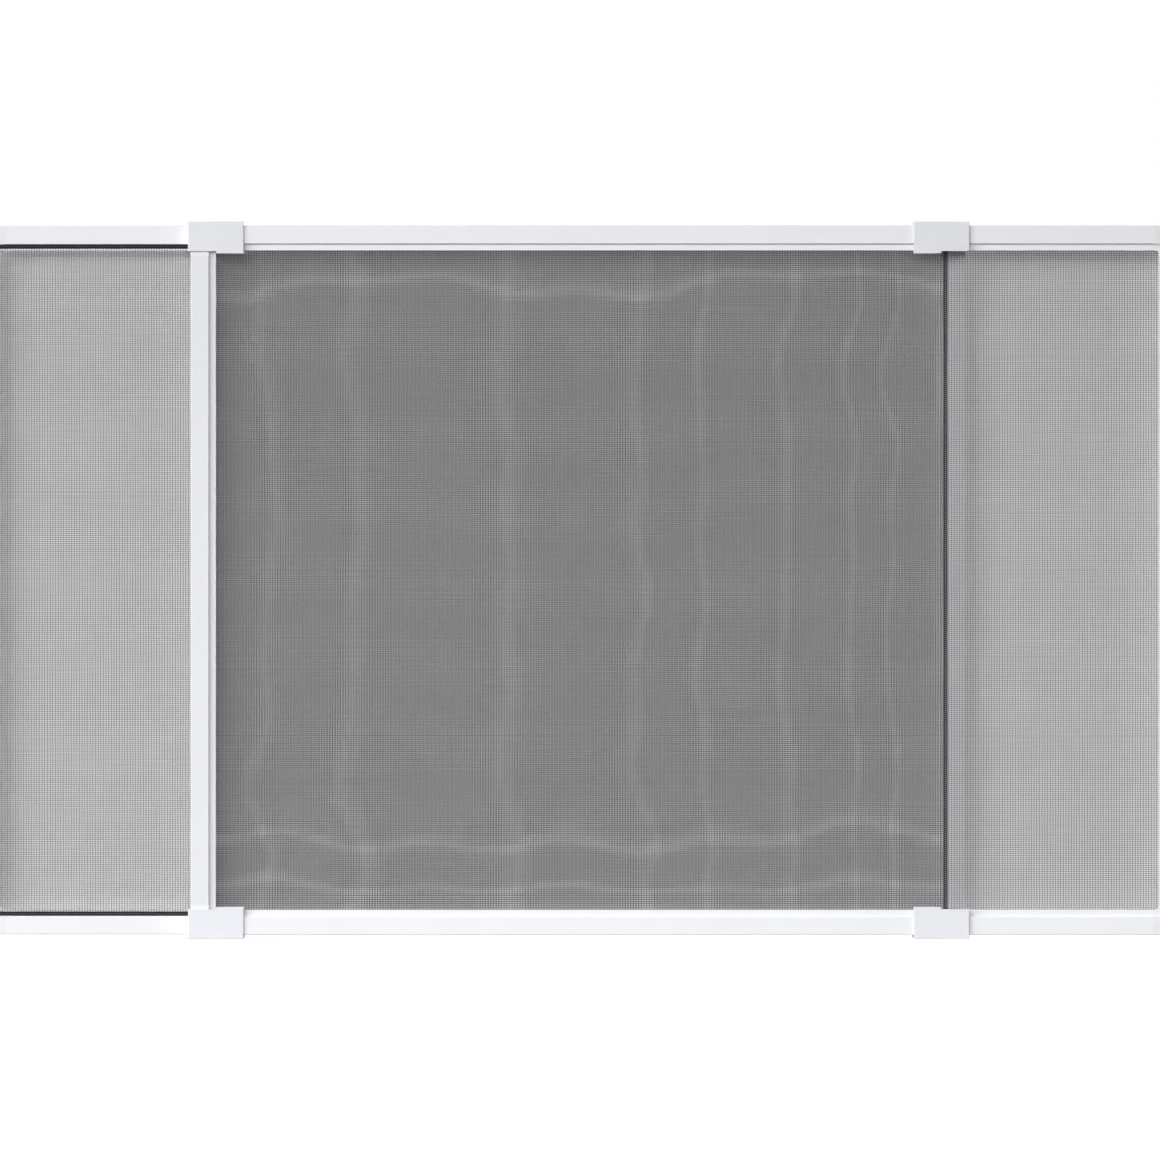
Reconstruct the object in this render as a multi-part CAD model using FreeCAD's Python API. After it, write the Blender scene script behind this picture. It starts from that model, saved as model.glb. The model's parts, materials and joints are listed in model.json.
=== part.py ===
import FreeCAD, Part
import os

# Extendable insect screen for a window. Two framed mesh panels stand one behind the other and slide
# past each other along X. Each panel is four aluminium extrusions on four plastic corner keys, with
# the mesh pressed into a groove by a rubber spline. Two plastic clips on the left corners of the
# front panel carry the rails of the back panel, and two on the right corners of the back panel carry
# the rails of the front one.
# Millimetres. X runs along the width, -Y is the side that faces the viewer, +Z is up.
# The origin is at the middle of the assembly's foot, with the panels at their offset at rest.

# Panels
panel_width = 700.0
panel_height = 500.0
rest_offset = 153.0
panel_gap = 1.6

# Extruded profile, from its outer edge inwards and from its flat face to its spline face
body_width = 12.9
profile_depth = 8.0
profile_wall = 1.0
groove_width = 3.2
lip_width = 1.4
flat_step = 2.0
groove_floor_wall = 1.0
lip_drop = 1.2
profile_edge_radius = 0.6
bore_radius = 0.3

# Corner keys
key_arm_past_lip = 4.0
key_leg_length = 32.0
key_leg_clearance = 0.2
key_leg_chamfer = 1.5
key_leg_slot_width = 4.0
key_leg_slot_end = 6.0
key_leg_slot_depth = 2.4
key_inner_radius = 2.5
key_mark_radius = 3.4
key_mark_depth = 0.4
key_mark_from_end = 13.6

# Slide clips
clip_wall = 1.6
clip_web = 2.3
clip_end_wall = 1.8
clip_rib_short_of_groove = 3.9
clip_stile_lap = 0.5
clip_corner_lap = 0.6
clip_hook_height = 1.9
clip_hook_length = 14.9
clip_hook_past_key = 2.5
clip_hook_past_step = 3.0
clip_edge_radius = 0.5
running_clearance = 0.3

# Mesh and spline
mesh_wall = 0.5
mesh_flange = 0.4
mesh_flange_depth = 1.5
mesh_ridge_height = 0.25
mesh_ridge_width = 1.2
mesh_ridge_spacing = 3.0
mesh_edge_margin = 0.4
mesh_gap_columns = 30
mesh_gap_rows = 4
mesh_bar_width = 9.4
spline_diameter = 2.7
spline_side_clearance = 0.05
spline_above_floor = 0.3
spline_bend_radius = 3.0

# Places that follow from the sizes above
profile_width = body_width + groove_width + lip_width
key_arm = profile_width + key_arm_past_lip
clip_stile_half = profile_width + clip_stile_lap
clip_stile_wall_drop = profile_width + clip_corner_lap
clip_free_wall_drop = profile_width + running_clearance + clip_hook_height
clip_hook_start = profile_width + key_inner_radius + clip_hook_past_key
clip_length = clip_hook_start + clip_hook_length
clip_hook_reach = flat_step + clip_hook_past_step
clip_rib_height = body_width - clip_rib_short_of_groove
half_width = (panel_width + rest_offset) / 2
panel_left = half_width - panel_width
foot = clip_web + running_clearance
flat_y = -panel_gap / 2 - profile_depth
lip_top = profile_depth - lip_drop
groove_floor = flat_step + groove_floor_wall
spline_radius = spline_diameter / 2
spline_line = body_width + spline_side_clearance + spline_radius
spline_level = groove_floor + spline_above_floor + spline_radius
groove_end = body_width + groove_width
flange_outer = groove_end - mesh_flange
groove_bend = spline_line + spline_bend_radius

# How near an edge lies to a plane to count as on it, and how parallel it is to run along an axis
on_plane = 0.01
parallel = 0.999

X = FreeCAD.Vector(1, 0, 0)
Y = FreeCAD.Vector(0, 1, 0)
Z = FreeCAD.Vector(0, 0, 1)
ORIGIN = FreeCAD.Vector(0, 0, 0)


def block(low, high):
    """A box from its lowest to its highest corner."""
    sides = [b - a for a, b in zip(low, high)]
    return Part.makeBox(*sides, FreeCAD.Vector(*low))


def rounded(solid, radius, wanted):
    """The solid with the edges that wanted picks rounded off."""
    return solid.makeFillet(radius, [e for e in solid.Edges if wanted(e)])


def along(edge, axis):
    """Whether an edge is straight and runs along an axis."""
    if edge.Curve.TypeId != "Part::GeomLine":
        return False
    return abs(edge.tangentAt(edge.FirstParameter).dot(axis)) > parallel


# A profile or key is drawn with its length along X, its outer edge at Z = 0 and its flat face at
# Y = 0, so that Z is the distance inwards and Y the distance from the flat face.
def profile_solid(start, end):
    """The closed section of the profile, without its bore, from start to end."""
    body = block((start, 0, 0), (end, profile_depth, body_width))
    body = rounded(body, profile_edge_radius, lambda e: along(e, X))
    floor = block(
        (start, flat_step, body_width - profile_wall),
        (end, groove_floor, profile_width),
    )
    lip = block((start, flat_step, groove_end), (end, lip_top, profile_width))
    return body.fuse([floor, lip]).removeSplitter()


def inside_tube(start, end, clearance=0.0):
    """The space inside the tube, smaller all round by a clearance."""
    inset = profile_wall + clearance
    return block((start, inset, inset), (end, profile_depth - inset, body_width - inset))


def extrusion(length):
    """A hollow profile cut square at both ends, between two corner keys."""
    bore = rounded(inside_tube(0, length), bore_radius, lambda e: along(e, X))
    return profile_solid(0, length).cut(bore)


def key_leg():
    """The leg of a corner key that is pressed into a tube, with a moulded slot in its back."""
    tip = key_arm + key_leg_length
    leg = inside_tube(body_width, tip, key_leg_clearance)
    leg = leg.makeChamfer(key_leg_chamfer, [e for e in leg.Edges if e.BoundBox.XMin > tip - on_plane])
    middle = body_width / 2
    slot = block(
        (key_arm + key_leg_slot_end, profile_depth - profile_wall - key_leg_slot_depth,
         middle - key_leg_slot_width / 2),
        (tip - key_leg_slot_end, profile_depth, middle + key_leg_slot_width / 2),
    )
    return leg.cut(slot)


def swapped(solid):
    """The solid mirrored across the corner's diagonal, so that what ran along X runs along Z."""
    diagonal = FreeCAD.Vector(1, 0, -1).normalize()
    return solid.mirror(ORIGIN, diagonal)


def square_less_round(low, radius, bottom, top):
    """A square at low and low, less a round whose middle is at its far corner."""
    middle = low + radius
    square = block((low, bottom, low), (middle, top, middle))
    return square.cut(
        Part.makeCylinder(radius, top - bottom, FreeCAD.Vector(middle, bottom, middle), Y)
    )


def corner_key():
    """The key of a corner with its outer corner at the origin and its arms along +X and +Z."""
    arm = block((0, 0, 0), (key_arm, profile_depth, body_width))
    arm_floor = block((0, flat_step, 0), (key_arm, groove_floor, profile_width))
    arm_lip = block((groove_end, flat_step, groove_end), (key_arm, lip_top, profile_width))
    pieces = [arm_floor, arm_lip, swapped(arm), swapped(arm_floor), swapped(arm_lip)]
    pieces.append(square_less_round(profile_width, key_inner_radius, flat_step, lip_top))
    key = arm.fuse(pieces).removeSplitter()
    key = key.cut(
        square_less_round(groove_end, groove_bend - groove_end, groove_floor, lip_top)
    )
    key = rounded(key, profile_edge_radius, on_outer_corner)
    mark_middle = FreeCAD.Vector(key_mark_from_end, 0, body_width / 2)
    mark = Part.makeCylinder(key_mark_radius, key_mark_depth, mark_middle, Y)
    legs = [key_leg(), swapped(key_leg())]
    return key.cut(mark).fuse(legs).removeSplitter()


def on_outer_corner(edge):
    """Whether an edge of a key is one of the long edges of its outer sides."""
    box = edge.BoundBox
    on_side = box.ZMax < on_plane or box.XMax < on_plane
    on_face = box.YMax < on_plane or box.YMin > profile_depth - on_plane
    return on_side and on_face


def spline():
    """The rubber cord in the groove of a whole panel, round all four corners."""
    left = spline_line
    right = panel_width - spline_line
    top = panel_height - spline_line
    bend = spline_bend_radius
    low = groove_bend
    across = right - left - 2 * bend
    up = top - spline_line - 2 * bend
    runs = [
        ((low, spline_level, spline_line), X, across),
        ((low, spline_level, top), X, across),
        ((left, spline_level, low), Z, up),
        ((right, spline_level, low), Z, up),
    ]
    cord = [
        Part.makeCylinder(spline_radius, length, FreeCAD.Vector(*start), axis)
        for start, axis, length in runs
    ]
    for x, z, turn in (
        (right - bend, top - bend, 0),
        (low, top - bend, 90),
        (low, low, 180),
        (right - bend, low, 270),
    ):
        elbow = Part.makeTorus(bend, spline_radius, ORIGIN, Z, 0, 360, 90)
        elbow.rotate(ORIGIN, X, 90)
        elbow.rotate(ORIGIN, Y, -turn)
        elbow.translate(FreeCAD.Vector(x, spline_level, z))
        cord.append(elbow)
    return cord[0].fuse(cord[1:]).removeSplitter()


def spread(count, low, high):
    """Evenly spaced places from low to high, both included."""
    return [low + (high - low) * i / (count - 1) for i in range(count)]


def tray(inset, bottom, top):
    """A flat block as large as the panel less an inset, with corners round the spline's bends."""
    solid = block((inset, bottom, inset), (panel_width - inset, top, panel_height - inset))
    return rounded(solid, groove_bend - inset, lambda e: along(e, Y))


def mesh():
    """The mesh of a whole panel: a grid of tall gaps, with upright ridges outside, level ones inside."""
    wall_top = lip_top + mesh_wall
    sheet = tray(flange_outer, lip_top - mesh_flange_depth, wall_top)
    sheet = sheet.cut(tray(groove_end, 0, lip_top))
    half_ridge = mesh_ridge_width / 2
    left = profile_width + mesh_edge_margin + mesh_ridge_spacing + half_ridge
    right = panel_width - left
    top = panel_height - left
    columns = spread(mesh_gap_columns + 1, left, right)
    rows = spread(mesh_gap_rows + 1, left, top)
    ridges = []
    for step in (-mesh_ridge_spacing, 0, mesh_ridge_spacing):
        for x in columns:
            low = (x + step - half_ridge, wall_top, left)
            high = (x + step + half_ridge, wall_top + mesh_ridge_height, top)
            ridges.append(block(low, high))
        for z in rows:
            low = (left, lip_top - mesh_ridge_height, z + step - half_ridge)
            high = (right, lip_top, z + step + half_ridge)
            ridges.append(block(low, high))
    half_bar = mesh_bar_width / 2
    gaps = [
        block((x + half_bar, 0, z + half_bar), (next_x - half_bar, profile_depth, next_z - half_bar))
        for x, next_x in zip(columns, columns[1:])
        for z, next_z in zip(rows, rows[1:])
    ]
    return sheet.fuse(ridges).cut(gaps)


def across_panel(solid):
    """A piece of the panel's left half, mirrored to its right half."""
    return solid.mirror(FreeCAD.Vector(panel_width / 2, 0, 0), X)


def up_panel(solid):
    """A piece of the panel's lower half, mirrored to its upper half."""
    return solid.mirror(FreeCAD.Vector(0, 0, panel_height / 2), Z)


def panel():
    """The pieces of one panel, from its lower left corner, with the flat face at Y = 0."""
    rail = extrusion(panel_width - 2 * key_arm)
    rail.translate(X * key_arm)
    stile = extrusion(panel_height - 2 * key_arm)
    stile.translate(X * key_arm)
    stile = swapped(stile)
    key = corner_key()
    return {
        "bottom_rail": rail,
        "top_rail": up_panel(rail),
        "left_stile": stile,
        "right_stile": across_panel(stile),
        "corner_bottom_left": key,
        "corner_bottom_right": across_panel(key),
        "corner_top_left": up_panel(key),
        "corner_top_right": up_panel(across_panel(key)),
        "spline": spline(),
        "mesh": mesh(),
    }


def clip():
    """The clip of a panel's lower left corner. The panel fits in it and the other one runs past."""
    own_flat = 0.0
    own_spline = profile_depth
    other_spline = profile_depth + panel_gap
    other_flat = other_spline + profile_depth + running_clearance
    front = own_flat - clip_wall
    back = other_flat + clip_wall
    rib_back = other_spline - running_clearance
    foot_level = -foot
    low = (-clip_end_wall, front, foot_level)
    clip_body = block(low, (clip_length, back, clip_free_wall_drop))
    own_room = block((0, own_flat, 0), (clip_length, own_spline, clip_free_wall_drop))
    other_room = block(
        (-clip_end_wall, rib_back, -running_clearance),
        (clip_length, other_flat, clip_free_wall_drop),
    )
    above_rib = block((0, own_flat, clip_rib_height), (clip_length, other_flat, clip_free_wall_drop))
    over_stile = block(
        (-clip_end_wall, front, clip_stile_wall_drop), (clip_stile_half, back, clip_free_wall_drop)
    )
    clip_body = rounded(clip_body, clip_edge_radius, lambda e: on_clip_outside(e, front, back))
    clip_body = clip_body.cut([own_room, other_room, above_rib, over_stile])
    hook_low = profile_width + running_clearance
    own_hook = block(
        (clip_hook_start, front, hook_low),
        (clip_length, own_flat + clip_hook_reach, clip_free_wall_drop),
    )
    other_hook = block(
        (clip_hook_start, other_flat - clip_hook_reach, hook_low),
        (clip_length, other_flat, clip_free_wall_drop),
    )
    return clip_body.fuse([own_hook, other_hook]).removeSplitter()


def on_clip_outside(edge, front, back):
    """Whether an edge of the clip's block is one of the long ones round its foot."""
    box = edge.BoundBox
    level = box.ZMax < -foot + on_plane
    side = box.YMax < front + on_plane or box.YMin > back - on_plane
    upright = along(edge, Z) and side
    return level or upright


def in_front(solid):
    """A piece of the front panel, moved from its own corner to its place."""
    placed = solid.copy()
    placed.translate(FreeCAD.Vector(panel_left, flat_y, foot))
    return placed


def behind(solid):
    """The same piece of the back panel, which is the front one turned half round."""
    placed = in_front(solid)
    placed.rotate(ORIGIN, Z, 180)
    return placed


# The half turn swaps left and right, so each back piece takes the name of the side it ends up on.
SIDES = {"left": "right", "right": "left"}


def other_side(name):
    """The name with its left and right exchanged."""
    words = [SIDES.get(word, word) for word in name.split("_")]
    return "_".join(words)


def main():
    nodes = {}
    for name, solid in panel().items():
        nodes["front_" + name] = in_front(solid)
        nodes["back_" + other_side(name)] = behind(solid)
    low_clip = clip()
    for name, solid in (("bottom", low_clip), ("top", up_panel(low_clip))):
        nodes[f"clip_{name}_left"] = in_front(solid)
        nodes[f"clip_{name}_right"] = behind(solid)
    os.makedirs("parts", exist_ok=True)
    for name, solid in sorted(nodes.items()):
        solid.exportStep(f"parts/{name}.step")
        print(name, len(solid.Solids), solid.isValid(), round(solid.Volume, 1))


main()
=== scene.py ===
import bpy
import json
import math
import numpy as np
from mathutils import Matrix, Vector


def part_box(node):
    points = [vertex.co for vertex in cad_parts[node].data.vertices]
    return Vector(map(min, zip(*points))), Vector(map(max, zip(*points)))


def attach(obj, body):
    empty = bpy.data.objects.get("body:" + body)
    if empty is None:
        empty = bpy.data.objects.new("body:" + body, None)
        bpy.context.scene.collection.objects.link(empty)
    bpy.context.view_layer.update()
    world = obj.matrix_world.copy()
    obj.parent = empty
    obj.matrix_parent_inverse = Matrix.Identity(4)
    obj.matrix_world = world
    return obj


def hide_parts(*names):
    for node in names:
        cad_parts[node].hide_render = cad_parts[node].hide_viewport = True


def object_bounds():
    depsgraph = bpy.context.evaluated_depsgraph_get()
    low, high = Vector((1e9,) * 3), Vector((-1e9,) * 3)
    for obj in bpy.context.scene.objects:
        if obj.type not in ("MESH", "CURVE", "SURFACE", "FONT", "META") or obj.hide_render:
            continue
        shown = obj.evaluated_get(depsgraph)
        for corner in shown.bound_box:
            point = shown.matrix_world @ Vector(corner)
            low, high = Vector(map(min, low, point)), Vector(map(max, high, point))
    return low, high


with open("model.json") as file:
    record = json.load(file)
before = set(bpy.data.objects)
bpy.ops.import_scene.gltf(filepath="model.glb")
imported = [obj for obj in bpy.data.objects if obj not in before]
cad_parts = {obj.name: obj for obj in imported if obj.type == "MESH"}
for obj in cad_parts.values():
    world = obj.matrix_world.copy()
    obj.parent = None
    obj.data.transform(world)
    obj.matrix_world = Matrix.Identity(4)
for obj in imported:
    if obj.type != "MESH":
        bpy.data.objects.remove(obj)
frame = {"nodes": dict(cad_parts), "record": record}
cad_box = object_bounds()
MM = 0.001

# The photograph: its side in pixels, one pixel's real size at the front panel, and what its middle shows
PHOTO_SIDE = 1160
PIXEL = 0.7048 * MM
PHOTO_MIDDLE = Vector((0.95 * MM, 0, 252.7 * MM))
CAMERA_DISTANCE = 5.5
SENSOR = 36.0

# Woven mesh: distances between threads, their section, how far the two sets lie apart where they
# cross, how many straight spans a thread has, and the share of the sheet's area that threads cover
UPRIGHT_PITCH = 1.88 * MM
LEVEL_PITCH = 1.43 * MM
THREAD_WIDTH = 0.37 * MM
THREAD_THICKNESS = 0.3 * MM
THREAD_CROSSING = 0.1 * MM
UPRIGHT_SPANS = 24
LEVEL_SPANS = 29

# The wall that stands for the mesh in the solids: the height of its ridges and half its thickness
RIDGE_HEIGHT = 0.25 * MM
WALL_HALF = 0.25 * MM

# The threads' ends in the groove: places along a thread, as shares of the way from its end to the
# lip, and how deep it lies at each
TUCK_INSET = 0.2 * MM
TUCK_TO_LIP = 1.6 * MM
TUCK_PLACES = (0, 0, 0.25, 0.7, 1.0)
TUCK_DEPTHS = (2.6 * MM, 0.35 * MM, 0.08 * MM, 0, 0)
FIRST_THREAD = TUCK_INSET * 3

# Threads stay even up to the first distance from a panel's edge, and hang loose from the second on
HELD_EDGE = 3 * MM
LOOSENING = 25 * MM
LOOSE_CURVE = 0.7

# Columns of the photograph where the two meshes' upright threads line up at rest. Down its rows, how
# many pitches the level threads of one mesh stand from those of the other: they line up at whole ones.
# A band is as narrow as it is sharp, and its place wanders
MOIRE_COLUMNS = (170, 256, 345, 508, 650, 710, 796, 860, 896, 950)
MOIRE_ROWS = (226, 262, 290, 318, 780, 815, 840, 862, 884, 915)
MOIRE_PITCHES = (-0.7, -0.45, 0, 0.5, 0.5, 0.7, 1.0, 1.5, 2.0, 2.6)
BAND_SHARPNESS = 0.8
UPRIGHT_WANDER = 5 * MM
LEVEL_WANDER = 8 * MM
WANDER_SEED = 7

# Unevenness of the threads: of each as a whole, of each of its points, in slow waves, and in depth
UPRIGHT_JITTER = 0.025 * MM
LEVEL_JITTER = 0.03 * MM
WOBBLE = 0.03 * MM
UPRIGHT_SWAY = 0.05 * MM
LEVEL_SWAY = 0.09 * MM
BILLOW = 0.3 * MM
SPARE_REACH = 20 * MM

# White card behind the screen, and the floor
CARD_GAP = 0.3 * MM
CARD_REACH = 1.0
CARD_HEIGHTS = (12 * MM, 494 * MM)
FLOOR_REACH = 12.0
CARD_WHITE = (1.0, 0.98, 0.99)

# Colours
PROFILE_WHITE = (0.89, 0.90, 0.93)
# The profile white made darker for the stiles: painted shade, not a different coat
UPRIGHT_SHADED_WHITE = (0.82, 0.83, 0.86)
CLIP_WHITE = (0.82, 0.83, 0.87)
KEY_WHITE = (0.86, 0.87, 0.90)
SPLINE_BLACK = (0.016, 0.016, 0.018)
THREAD_GREY = (0.243, 0.241, 0.246)

# How far from an edge a coat is rubbed
EDGE_WEAR = 0.7 * MM


def photo_x(column):
    """The place along X that a column of the photograph shows."""
    return PHOTO_MIDDLE.x + (column - PHOTO_SIDE / 2) * PIXEL


def photo_z(row):
    """The height that a row of the photograph shows."""
    return PHOTO_MIDDLE.z - (row - PHOTO_SIDE / 2) * PIXEL


class Shader:
    """A material whose nodes are added one by one."""

    def __init__(self, name):
        self.material = bpy.data.materials.new(name)
        self.material.use_nodes = True
        self.nodes = self.material.node_tree.nodes
        self.links = self.material.node_tree.links
        self.surface = self.nodes["Principled BSDF"]
        self.place = self.nodes.new("ShaderNodeTexCoord").outputs["Object"]

    def link(self, source, target):
        self.links.new(source, target)

    def stretched(self, scale):
        """The object's coordinates, stretched by a factor along each axis."""
        mapping = self.nodes.new("ShaderNodeMapping")
        mapping.inputs["Scale"].default_value = scale
        self.link(self.place, mapping.inputs["Vector"])
        return mapping.outputs["Vector"]

    def noise(self, scale, detail=2.0, along=(1, 1, 1)):
        """A noise of about that many lumps to the metre."""
        node = self.nodes.new("ShaderNodeTexNoise")
        node.inputs["Scale"].default_value = scale
        node.inputs["Detail"].default_value = detail
        self.link(self.stretched(along), node.inputs["Vector"])
        return node.outputs["Fac"]

    def ranged(self, value, low, high, first=0.3, last=0.7):
        """A value brought from its own range to another. Most of a noise lies between 0.3 and 0.7."""
        node = self.nodes.new("ShaderNodeMapRange")
        node.inputs["From Min"].default_value = first
        node.inputs["From Max"].default_value = last
        node.inputs["To Min"].default_value = low
        node.inputs["To Max"].default_value = high
        self.link(value, node.inputs["Value"])
        return node.outputs["Result"]

    def product(self, one, other):
        node = self.nodes.new("ShaderNodeMath")
        node.operation = "MULTIPLY"
        self.link(one, node.inputs[0])
        self.link(other, node.inputs[1])
        return node.outputs["Value"]

    def edges(self, radius):
        """0 on open ground and 1 close to an edge."""
        bevel = self.nodes.new("ShaderNodeBevel")
        bevel.samples = 4
        bevel.inputs["Radius"].default_value = radius
        flat = self.nodes.new("ShaderNodeNewGeometry")
        alike = self.nodes.new("ShaderNodeVectorMath")
        alike.operation = "DOT_PRODUCT"
        self.link(bevel.outputs["Normal"], alike.inputs[0])
        self.link(flat.outputs["Normal"], alike.inputs[1])
        return self.ranged(alike.outputs["Value"], 0, 1, first=0.99, last=0.8)

    def coloured(self, colour, veils):
        """The base colour under veils: a value from 0 to 1 and the share that it takes the colour to."""
        last = None
        for value, share in veils:
            node = self.nodes.new("ShaderNodeMix")
            node.data_type = "RGBA"
            node.blend_type = "MULTIPLY"
            node.inputs["A"].default_value = (*colour, 1)
            node.inputs["B"].default_value = (share, share, share, 1)
            if last is not None:
                self.link(last, node.inputs["A"])
            self.link(value, node.inputs["Factor"])
            last = node.outputs["Result"]
        self.link(last, self.surface.inputs["Base Color"])

    def rough(self, value, low, high):
        self.link(self.ranged(value, low, high), self.surface.inputs["Roughness"])

    def bumps(self, heights, strength, depth):
        """A bump from one or more noises, each laid over the one before."""
        normal = None
        for value in heights:
            node = self.nodes.new("ShaderNodeBump")
            node.inputs["Strength"].default_value = strength
            node.inputs["Distance"].default_value = depth
            self.link(value, node.inputs["Height"])
            if normal is not None:
                self.link(normal, node.inputs["Normal"])
            normal = node.outputs["Normal"]
        self.link(normal, self.surface.inputs["Normal"])


def powder_coat(name, colour):
    """White powder coat on aluminium: slow clouds, orange peel and rubbed edges."""
    s = Shader(name)
    clouds = s.ranged(s.noise(7, 3), 0, 1)
    peel = s.noise(650, 2)
    rubbed = s.product(s.edges(EDGE_WEAR), s.ranged(s.noise(70, 4), 0.2, 1))
    s.coloured(colour, [(clouds, 0.975), (peel, 0.99), (rubbed, 0.95)])
    s.rough(s.noise(50, 3), 0.34, 0.48)
    s.bumps([peel, s.noise(150, 1)], 0.12, 0.03 * MM)
    return s.material


def moulded_white(name, colour):
    """White moulded plastic: flow clouds, a fine eroded texture, slow shrink marks and rubbed edges."""
    s = Shader(name)
    clouds = s.ranged(s.noise(28, 3), 0, 1)
    scuffs = s.ranged(s.noise(60, 5, along=(1, 1, 7)), 0, 1, first=0.62, last=0.75)
    rubbed = s.product(s.edges(EDGE_WEAR), s.ranged(s.noise(120, 4), 0.2, 1))
    s.coloured(colour, [(clouds, 0.97), (scuffs, 0.97), (rubbed, 0.95)])
    s.rough(s.noise(260, 3), 0.42, 0.58)
    s.bumps([s.noise(1500, 2), s.noise(90, 1)], 0.15, 0.03 * MM)
    return s.material


def black_rubber():
    """Black rubber cord: a dusty, uneven skin, paler where it was rolled in."""
    s = Shader("black_rubber_spline")
    dull = s.ranged(s.noise(300, 4), 0, 1)
    s.coloured(SPLINE_BLACK, [(dull, 0.55)])
    s.rough(s.noise(500, 3), 0.5, 0.75)
    s.bumps([s.noise(1100, 3), s.noise(240, 1)], 0.5, 0.1 * MM)
    return s.material


def coated_thread():
    """Grey coated fibre: each thread a little lighter or darker along its length."""
    s = Shader("grey_coated_thread")
    patches = s.ranged(s.noise(110, 4), 0, 1)
    dust = s.ranged(s.noise(18, 2), 0, 1)
    s.coloured(THREAD_GREY, [(patches, 0.84), (dust, 0.95)])
    s.rough(s.noise(400, 2), 0.5, 0.7)
    s.bumps([s.noise(2500, 2)], 0.3, 0.05 * MM)
    return s.material


def dress_frame():
    """Each CAD piece of frame, clip or spline gets the finish of its slot, except the stiles, which get a
    darker copy of the powder coat as painted shade.
    """
    finishes = {
        "white_profile": powder_coat("white_powder_coat", PROFILE_WHITE),
        "corner_plastic": moulded_white("white_corner_plastic", KEY_WHITE),
        "clip_plastic": moulded_white("white_clip_plastic", CLIP_WHITE),
        "black_spline": black_rubber(),
    }
    # A darker copy of the powder coat for the stiles, standing in for less light on them: painted shade
    upright = powder_coat("white_powder_coat_upright_painted_shade", UPRIGHT_SHADED_WHITE)
    slots = {s["node"]: s["material_slot"] for s in frame["record"]["subparts"]}
    for name, piece in frame["nodes"].items():
        finish = upright if name.endswith("_stile") else finishes.get(slots[name])
        if finish:
            piece.data.materials.clear()
            piece.data.materials.append(finish)


class Waves:
    """A smooth random field over the mesh's plane: a sum of a few slanting waves."""

    def __init__(self, random, count, shortest, longest, size, tall=1.0):
        lengths = random.uniform(shortest, longest, count)
        turns = random.uniform(0, math.pi, count)
        self.kx = 2 * math.pi * np.cos(turns) / lengths
        self.kz = 2 * math.pi * np.sin(turns) / lengths / tall
        self.start = random.uniform(0, 2 * math.pi, count)
        self.size = size / math.sqrt(count / 2)

    def at(self, x, z):
        phase = np.multiply.outer(x, self.kx) + np.multiply.outer(z, self.kz) + self.start
        return np.sin(phase).sum(-1) * self.size


def quick_at_whole(pitches):
    """A drift that runs faster over whole pitches and slower over half ones, for narrow bright bands."""
    return pitches + BAND_SHARPNESS * np.sin(2 * math.pi * pitches) / (2 * math.pi)


def drift_across(x):
    """How far the front mesh's upright threads stand to the right of the back mesh's, at rest."""
    places = np.array([photo_x(c) for c in MOIRE_COLUMNS])
    pitches = np.arange(len(places)) - len(places) // 2
    return quick_at_whole(np.interp(x, places, pitches)) * UPRIGHT_PITCH


def drift_up(z):
    """How far the front mesh's level threads stand above the back mesh's, at rest."""
    places = [photo_z(r) for r in reversed(MOIRE_ROWS)]
    return quick_at_whole(np.interp(z, places, MOIRE_PITCHES[::-1])) * LEVEL_PITCH


class Panel:
    """Where one panel's mesh lies, from the box of its CAD wall. side is 1 if its spline faces +Y."""

    def __init__(self, name, side, seed):
        low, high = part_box(name + "_mesh")
        self.name = name
        self.side = side
        self.random = np.random.default_rng(seed)
        self.left, self.right = low.x, high.x
        self.bottom, self.top = low.z, high.z
        outside = high.y if side > 0 else low.y
        self.plane = outside - side * (RIDGE_HEIGHT + WALL_HALF)

    def tucked(self, low, high, spans):
        """Places along a thread, from groove to groove, and how deep each lies in the groove."""
        ends = np.array(TUCK_PLACES) * TUCK_TO_LIP + TUCK_INSET
        sink = np.array(TUCK_DEPTHS)
        start, stop = low + ends[-1], high - ends[-1]
        inner = np.linspace(start, stop, spans + 1)[1:-1]
        along = np.concatenate([low + ends, inner, (high - ends)[::-1]])
        depth = np.concatenate([sink, np.zeros(len(inner)), sink[::-1]])
        return along, depth


def thread_places(low, high, pitch, drift, share):
    """Even places for one set of threads: those that lie inside once moved by a share of the drift."""
    first = math.ceil((low - SPARE_REACH) / pitch)
    last = math.floor((high + SPARE_REACH) / pitch)
    even = np.arange(first, last + 1) * pitch
    moved = even + share * drift(even)
    return even[(moved > low) & (moved < high)]


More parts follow.
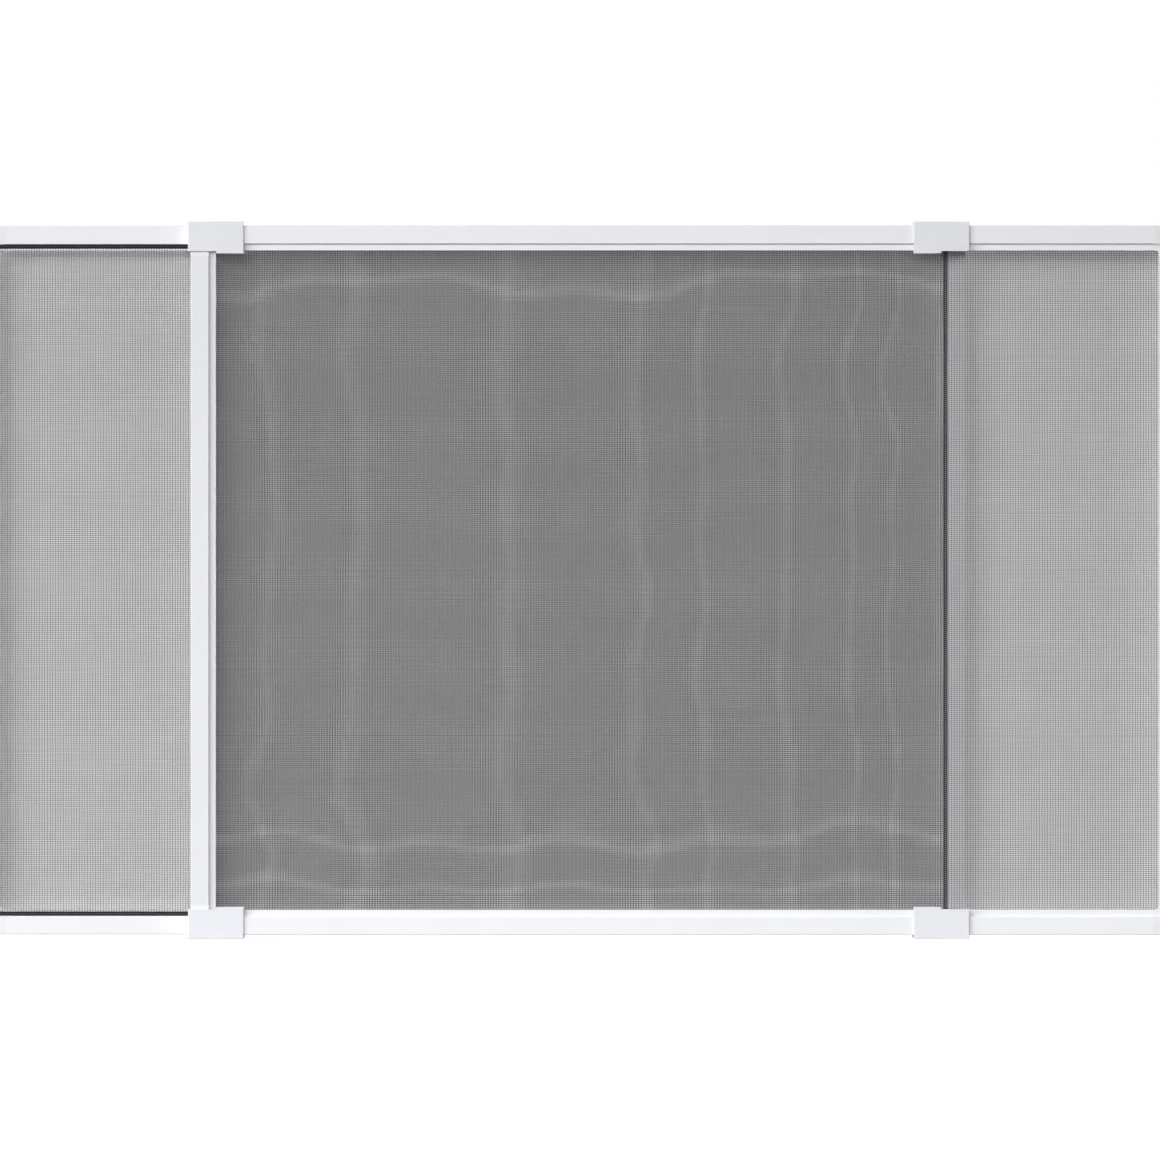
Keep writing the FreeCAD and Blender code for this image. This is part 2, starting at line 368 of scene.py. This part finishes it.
def woven(panel):
    """The panel's mesh as real threads, tucked into the groove at both ends."""
    random = panel.random
    share = 0.5 * panel.side
    both = np.random.default_rng(WANDER_SEED)
    wander_x = Waves(both, 14, 0.25, 1.2, UPRIGHT_WANDER, tall=0.2)
    wander_z = Waves(both, 12, 0.07, 0.4, LEVEL_WANDER, tall=4)
    sway_x = Waves(random, 14, 0.05, 0.3, UPRIGHT_SWAY, tall=1.6)
    sway_z = Waves(random, 14, 0.08, 0.4, LEVEL_SWAY)
    billow = Waves(random, 6, 0.12, 0.35, BILLOW)
    low, high = panel.left + FIRST_THREAD, panel.right - FIRST_THREAD
    upright = thread_places(low, high, UPRIGHT_PITCH, drift_across, share)
    low, high = panel.bottom + FIRST_THREAD, panel.top - FIRST_THREAD
    level = thread_places(low, high, LEVEL_PITCH, drift_up, share)

    z, depth = panel.tucked(panel.bottom, panel.top, UPRIGHT_SPANS)
    x = np.repeat(upright[:, None], len(z), 1)
    z = np.repeat(z[None, :], len(upright), 0)
    loose = looseness(panel, x, z)
    x = x + share * drift_across(x + wander_x.at(x, z) * loose)
    x = x + random.normal(0, UPRIGHT_JITTER, (len(x), 1))
    x = x + sway_x.at(x, z) * loose + random.normal(0, WOBBLE, x.shape) * loose
    y = panel.plane - panel.side * (depth[None, :] - billow.at(x, z) * loose - THREAD_CROSSING)
    uprights = tubes(np.stack([x, y, z], -1), Vector((1, 0, 0)))

    x, depth = panel.tucked(panel.left, panel.right, LEVEL_SPANS)
    z = np.repeat(level[:, None], len(x), 1)
    x = np.repeat(x[None, :], len(level), 0)
    loose = looseness(panel, x, z)
    z = z + share * drift_up(z + wander_z.at(x, z) * loose)
    z = z + random.normal(0, LEVEL_JITTER, (len(z), 1))
    z = z + sway_z.at(x, z) * loose + random.normal(0, WOBBLE, z.shape) * loose
    y = panel.plane - panel.side * (depth[None, :] - billow.at(x, z) * loose + THREAD_CROSSING)
    levels = tubes(np.stack([x, y, z], -1), Vector((0, 0, 1)))
    return joined(f"{panel.name}_woven_mesh", [uprights, levels])


def looseness(panel, x, z):
    """0 where the frame holds the mesh and 1 well inside the opening."""
    edge = np.minimum.reduce([x - panel.left, panel.right - x, z - panel.bottom, panel.top - z])
    return np.clip((edge - HELD_EDGE) / LOOSENING, 0, 1) ** LOOSE_CURVE


def tubes(lines, across):
    """Closed four-sided tubes along lines of points, as (points, quads)."""
    count, length, _ = lines.shape
    wide = np.array(across) * THREAD_WIDTH / 2
    ahead = np.gradient(lines, axis=1)
    ahead /= np.linalg.norm(ahead, axis=-1, keepdims=True)
    thick = np.cross(ahead, np.array(across))
    thick = thick / np.linalg.norm(thick, axis=-1, keepdims=True) * THREAD_THICKNESS / 2
    ring = np.stack([lines + wide, lines + thick, lines - wide, lines - thick], 2)
    points = ring.reshape(-1, 3)
    start = (np.arange(count) * length)[:, None] + np.arange(length - 1)[None, :]
    start = start.reshape(-1) * 4
    quads = []
    for k in range(4):
        n = (k + 1) % 4
        quads.append(np.stack([start + k, start + n, start + 4 + n, start + 4 + k], 1))
    first = np.arange(count) * length * 4
    last = first + (length - 1) * 4
    quads.append(np.stack([first + 3, first + 2, first + 1, first], 1))
    quads.append(np.stack([last, last + 1, last + 2, last + 3], 1))
    return points, np.concatenate(quads)


def joined(name, parts):
    """One object from several lists of points and quads."""
    points, quads, base = [], [], 0
    for p, q in parts:
        points.append(p)
        quads.append(q + base)
        base += len(p)
    points = np.concatenate(points)
    quads = np.concatenate(quads)
    data = bpy.data.meshes.new(name)
    data.vertices.add(len(points))
    data.vertices.foreach_set("co", points.astype(np.float32).ravel())
    data.loops.add(quads.size)
    data.loops.foreach_set("vertex_index", quads.astype(np.int32).ravel())
    data.polygons.add(len(quads))
    data.polygons.foreach_set("loop_start", np.arange(0, quads.size, 4, dtype=np.int32))
    data.polygons.foreach_set("use_smooth", np.ones(len(quads), bool))
    data.update(calc_edges=True)
    data.validate()
    piece = bpy.data.objects.new(name, data)
    bpy.context.scene.collection.objects.link(piece)
    return piece


def stretch_meshes():
    """Both panels' woven meshes, in place of their plain CAD walls."""
    thread = coated_thread()
    for name, side, seed in (("front", 1, 11), ("back", -1, 23)):
        panel = Panel(name, side, seed)
        piece = woven(panel)
        piece.data.materials.append(thread)
        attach(piece, f"{name}_panel")
        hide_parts(f"{name}_mesh")


def rectangle(name, corners):
    data = bpy.data.meshes.new(name)
    data.from_pydata(corners, [], [(0, 1, 2, 3)])
    piece = bpy.data.objects.new(name, data)
    bpy.context.scene.collection.objects.link(piece)
    return piece


def stage():
    """A pale floor under the screen, which also glows to the camera alone."""
    reach = FLOOR_REACH
    floor = rectangle(
        "floor", [(-reach, -reach, 0), (reach, -reach, 0), (reach, reach, 0), (-reach, reach, 0)]
    )
    material = bpy.data.materials.new("pale_floor")
    material.use_nodes = True
    nodes, links = material.node_tree.nodes, material.node_tree.links
    surface = nodes["Principled BSDF"]
    surface.inputs["Base Color"].default_value = (0.4, 0.4, 0.4, 1)
    surface.inputs["Roughness"].default_value = 0.9
    glow = nodes.new("ShaderNodeEmission")
    glow.inputs["Strength"].default_value = 0.75
    added = nodes.new("ShaderNodeAddShader")
    path = nodes.new("ShaderNodeLightPath")
    chosen = nodes.new("ShaderNodeMixShader")
    links.new(surface.outputs["BSDF"], added.inputs[0])
    links.new(glow.outputs["Emission"], added.inputs[1])
    links.new(path.outputs["Is Camera Ray"], chosen.inputs["Fac"])
    links.new(surface.outputs["BSDF"], chosen.inputs[1])
    links.new(added.outputs["Shader"], chosen.inputs[2])
    links.new(chosen.outputs["Shader"], nodes["Material Output"].inputs["Surface"])
    floor.data.materials.append(material)


def card():
    """A white card right behind the screen, seen from the front alone, which takes the screen's shadow."""
    back = cad_box[1].y + CARD_GAP
    low, high = CARD_HEIGHTS
    left, right = -CARD_REACH, CARD_REACH
    wall = rectangle(
        "card", [(left, back, low), (right, back, low), (right, back, high), (left, back, high)]
    )
    material = bpy.data.materials.new("white_card")
    material.use_nodes = True
    nodes, links = material.node_tree.nodes, material.node_tree.links
    nodes.remove(nodes["Principled BSDF"])
    paper = nodes.new("ShaderNodeBsdfDiffuse")
    paper.inputs["Color"].default_value = (*CARD_WHITE, 1)
    clear = nodes.new("ShaderNodeBsdfTransparent")
    side = nodes.new("ShaderNodeNewGeometry")
    chosen = nodes.new("ShaderNodeMixShader")
    links.new(side.outputs["Backfacing"], chosen.inputs["Fac"])
    links.new(paper.outputs["BSDF"], chosen.inputs[1])
    links.new(clear.outputs["BSDF"], chosen.inputs[2])
    links.new(chosen.outputs["Shader"], nodes["Material Output"].inputs["Surface"])
    wall.data.materials.append(material)
    wall.visible_diffuse = False
    wall.visible_glossy = False
    wall.visible_transmission = False
    wall.visible_shadow = False


def surroundings():
    """White to the camera and in gloss, and a dimmer soft light on the object."""
    world = bpy.data.worlds.new("studio")
    bpy.context.scene.world = world
    world.use_nodes = True
    nodes, links = world.node_tree.nodes, world.node_tree.links
    light = nodes["Background"]
    light.inputs["Color"].default_value = (0.97, 0.98, 1.0, 1)
    light.inputs["Strength"].default_value = 0.1
    white = nodes.new("ShaderNodeBackground")
    white.inputs["Color"].default_value = (1, 1, 1, 1)
    white.inputs["Strength"].default_value = 1.0
    path = nodes.new("ShaderNodeLightPath")
    seen = nodes.new("ShaderNodeMath")
    seen.operation = "MAXIMUM"
    links.new(path.outputs["Is Camera Ray"], seen.inputs[0])
    links.new(path.outputs["Is Glossy Ray"], seen.inputs[1])
    through = nodes.new("ShaderNodeMath")
    through.operation = "MAXIMUM"
    links.new(seen.outputs["Value"], through.inputs[0])
    links.new(path.outputs["Is Transmission Ray"], through.inputs[1])
    chosen = nodes.new("ShaderNodeMixShader")
    links.new(through.outputs["Value"], chosen.inputs["Fac"])
    links.new(light.outputs["Background"], chosen.inputs[1])
    links.new(white.outputs["Background"], chosen.inputs[2])
    links.new(chosen.outputs["Shader"], nodes["World Output"].inputs["Surface"])


def lamp(name, place, aim, side, watts, spread):
    data = bpy.data.lights.new(name, "AREA")
    data.spread = math.radians(spread)
    data.shape = "SQUARE"
    data.size = side
    data.energy = watts
    piece = bpy.data.objects.new(name, data)
    piece.location = place
    piece.rotation_euler = (Vector(aim) - Vector(place)).to_track_quat("-Z", "Y").to_euler()
    bpy.context.scene.collection.objects.link(piece)


def lamps():
    """A large soft lamp from above on the left, and weaker ones from the front, both sides and behind.

    The ones in front aim below the screen, so that its foot is a little brighter than its top.
    """
    lamp("key", (-3.0, -3.5, 2.7), (0.3, 0, -0.5), 2.4, 19.0, 60)
    lamp("front", (-0.3, -5.0, 1.8), (0.2, 0, -0.9), 2.0, 9.7, 45)
    lamp("left", (-5.0, -2.4, 1.2), (0.2, 0, -0.6), 1.6, 12.0, 50)
    lamp("right", (5.0, -0.3, 1.0), (0, 0, 0.2), 2.0, 36, 180)
    lamp("back", (1.6, 4.5, 1.3), (0, 0, 0.2), 2.5, 140, 180)


def camera():
    data = bpy.data.cameras.new("camera")
    data.sensor_width = SENSOR
    panel_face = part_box("front_left_stile")[0].y
    width = PHOTO_SIDE * PIXEL
    data.lens = SENSOR * CAMERA_DISTANCE / width
    data.clip_end = 50
    piece = bpy.data.objects.new("camera", data)
    piece.location = (PHOTO_MIDDLE.x, panel_face - CAMERA_DISTANCE, PHOTO_MIDDLE.z)
    piece.rotation_euler = (math.pi / 2, 0, 0)
    bpy.context.scene.collection.objects.link(piece)
    bpy.context.scene.camera = piece


camera()
dress_frame()
stretch_meshes()
stage()
card()
surroundings()
lamps()
bpy.context.scene.view_settings.view_transform = "Standard"

bpy.context.view_layer.update()
